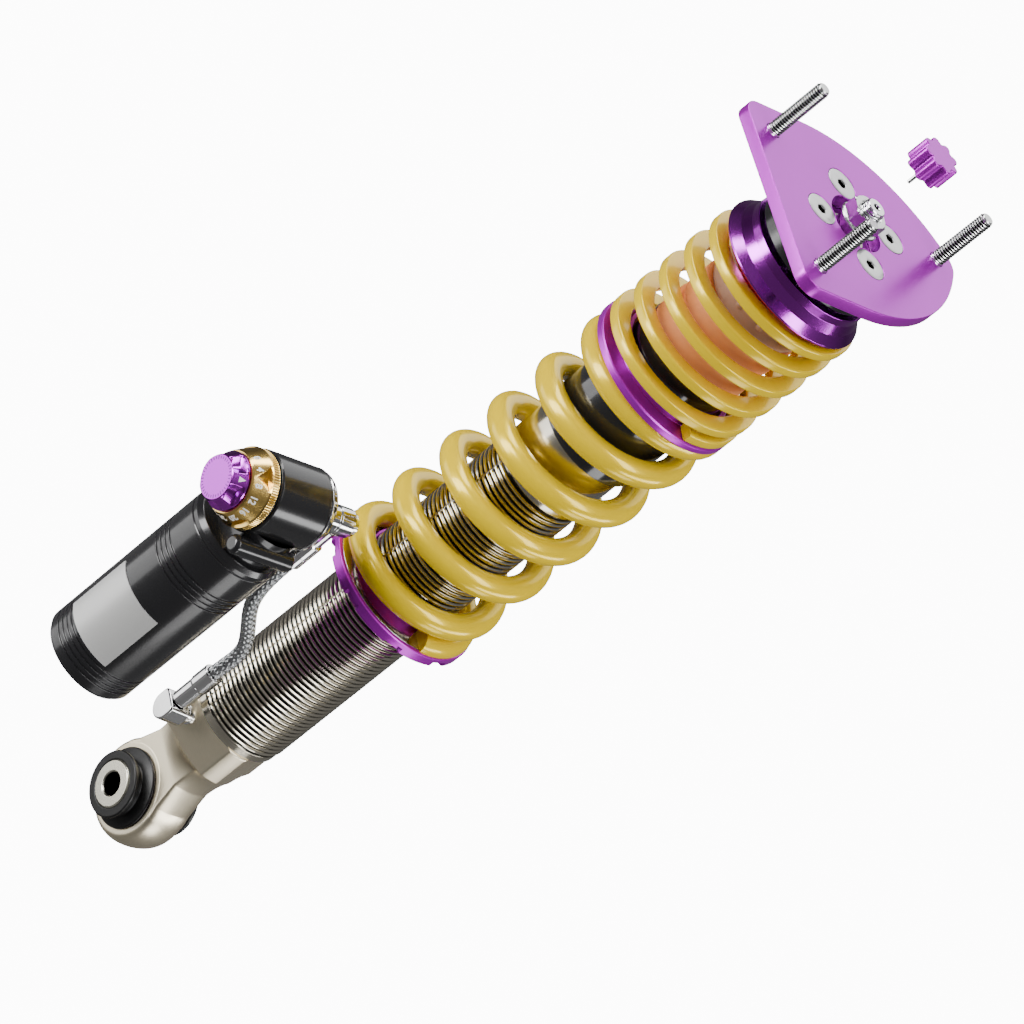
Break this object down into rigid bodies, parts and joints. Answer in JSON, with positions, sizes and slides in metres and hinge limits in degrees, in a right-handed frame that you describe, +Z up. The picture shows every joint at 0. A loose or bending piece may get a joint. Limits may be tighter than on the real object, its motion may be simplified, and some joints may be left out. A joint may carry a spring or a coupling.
{
  "type": "coilover",
  "caption": "Threaded coilover damper with main and helper springs, ball-jointed top plate, lower eye and a remote reservoir on a braided hose.",
  "frame": {"origin": "centre of the lower bush's bolt hole", "axes": "+X along the lower bolt towards the reservoir's dials, +Z up the damper to the top mount, +Y completes the right-handed set"},
  "size_m": [0.2232, 0.116, 0.61],
  "materials": {
    "champagne": "satin",
    "nickel": "satin threaded",
    "steel": "turned",
    "zinc": "zinc plated",
    "hard_chrome": "polished",
    "rubber": "moulded",
    "violet": "anodised satin",
    "dark_violet": "anodised satin",
    "yellow_paint": "glossy powder coat",
    "black_anodised": "anodised satin",
    "gold": "anodised satin",
    "dust_plastic": "glossy",
    "foam": "matt polyurethane",
    "foam_brown": "matt polyurethane",
    "braid": "braided wire",
    "grey_label": "printed film",
    "ptfe": "ptfe",
    "band": "ptfe and bronze",
    "brass": "turned"
  },
  "bodies": {
    "lower_strut": {"lower_eye": "champagne", "bush_rubber": "rubber", "damper_body": "nickel", "base_valve": "steel", "rod_guide": "black_anodised", "rod_seal": "rubber", "reservoir_tube": "black_anodised", "reservoir_cap": "black_anodised", "gas_valve": "brass", "reservoir_head": "black_anodised", "dial_seat": "rubber", "dial_spindle": "steel", "head_end_ring": "steel", "union_bolt": "steel", "union_eye": "steel", "upper_ferrule": "steel", "braided_hose": "braid", "lower_ferrule": "steel", "lower_union": "steel", "union_screw": "steel", "label_plate": "grey_label"},
    "bush": {"bush_sleeve": "steel"},
    "gold": {"gold_dial": "gold"},
    "purple": {"purple_dial": "dark_violet"},
    "float": {"floating_piston": "steel", "piston_ring": "rubber"},
    "seat": {"spring_washer": "steel", "main_spring": "yellow_paint"},
    "perch": {"spring_perch": "violet"},
    "coupler": {"coupler_ring": "violet", "helper_spring": "yellow_paint"},
    "rod": {"piston_rod": "hard_chrome", "piston": "steel", "piston_band": "band", "piston_nut": "steel", "bump_stop": "foam", "bump_stop_holder": "foam_brown", "upper_retainer": "dark_violet", "lower_spacer": "steel", "uniball_ball": "steel", "upper_spacer": "steel", "rod_nut": "zinc"},
    "dust": {"dust_tube": "dust_plastic"},
    "liner": {"uniball_liner": "ptfe"},
    "plate": {"uniball_race": "steel", "uniball_housing": "black_anodised", "top_plate": "violet", "countersunk_screws": "zinc", "mounting_studs": "zinc"},
    "pin": {"knob_pin": "steel"},
    "knob": {"rebound_knob": "violet"}
  },
  "joints": [
    {"name": "damper_travel", "type": "slide", "parent": "lower_strut", "child": "rod", "axis": [0, 0, 1], "range_m": [-0.085, 0], "stiffness_N_per_m": 4000, "springref_m": 0.02, "deforming": ["helper_spring", "bump_stop"]},
    {"name": "perch_turn", "type": "hinge", "parent": "seat", "child": "perch", "pos_m": [0, 0, 0.2], "axis": [0, 0, 1], "range_deg": [-721, 0]},
    {"name": "seat_slide", "type": "slide", "parent": "lower_strut", "child": "seat", "axis": [0, 0, 1], "range_m": [-0.006, 0]},
    {"name": "coupler_slide", "type": "slide", "parent": "seat", "child": "coupler", "axis": [0, 0, 1], "range_m": [-0.0341, 0], "deforming": ["main_spring"]},
    {"name": "dust_tube_slide", "type": "slide", "parent": "rod", "child": "dust", "axis": [0, 0, 1], "range_m": [0, 0.0194]},
    {"name": "gas_piston_slide", "type": "slide", "parent": "lower_strut", "child": "float", "axis": [0, 0, 1], "range_m": [-0.009, 0]},
    {"name": "bush_twist", "type": "hinge", "parent": "lower_strut", "child": "bush", "pos_m": [0, 0, 0], "axis": [1, 0, 0], "range_deg": [-15, 15], "stiffness_Nm_per_rad": 0.5},
    {"name": "gold_dial_turn", "type": "hinge", "parent": "lower_strut", "child": "gold", "pos_m": [0.1345, -0.004, 0.2247], "axis": [1, 0, 0], "range_deg": [-300, 0]},
    {"name": "purple_dial_turn", "type": "hinge", "parent": "lower_strut", "child": "purple", "pos_m": [0.1465, -0.004, 0.2247], "axis": [1, 0, 0], "range_deg": [-300, 0]},
    {"name": "top_swivel", "type": "hinge", "parent": "rod", "child": "liner", "pos_m": [0, 0, 0.51], "axis": [0, 0, 1], "continuous": true},
    {"name": "mount_tilt", "type": "hinge", "parent": "liner", "child": "plate", "pos_m": [0, 0, 0.51], "axis": [1, 0, 0], "range_deg": [-3, 3]},
    {"name": "knob_slide", "type": "slide", "parent": "rod", "child": "pin", "axis": [0, 0, 1], "range_m": [-0.029, 0]},
    {"name": "knob_turn", "type": "hinge", "parent": "pin", "child": "knob", "pos_m": [0, 0, 0.574], "axis": [0, 0, 1], "continuous": true}
  ],
  "couplings": [
    {"joint": "perch_turn", "follows": "seat_slide", "rad_per_m": 2094.4},
    {"joint": "coupler_slide", "follows": "damper_travel", "ratio": 0.4},
    {"joint": "dust_tube_slide", "follows": "damper_travel", "ratio": -0.227},
    {"joint": "gas_piston_slide", "follows": "damper_travel", "ratio": 0.101}
  ]
}
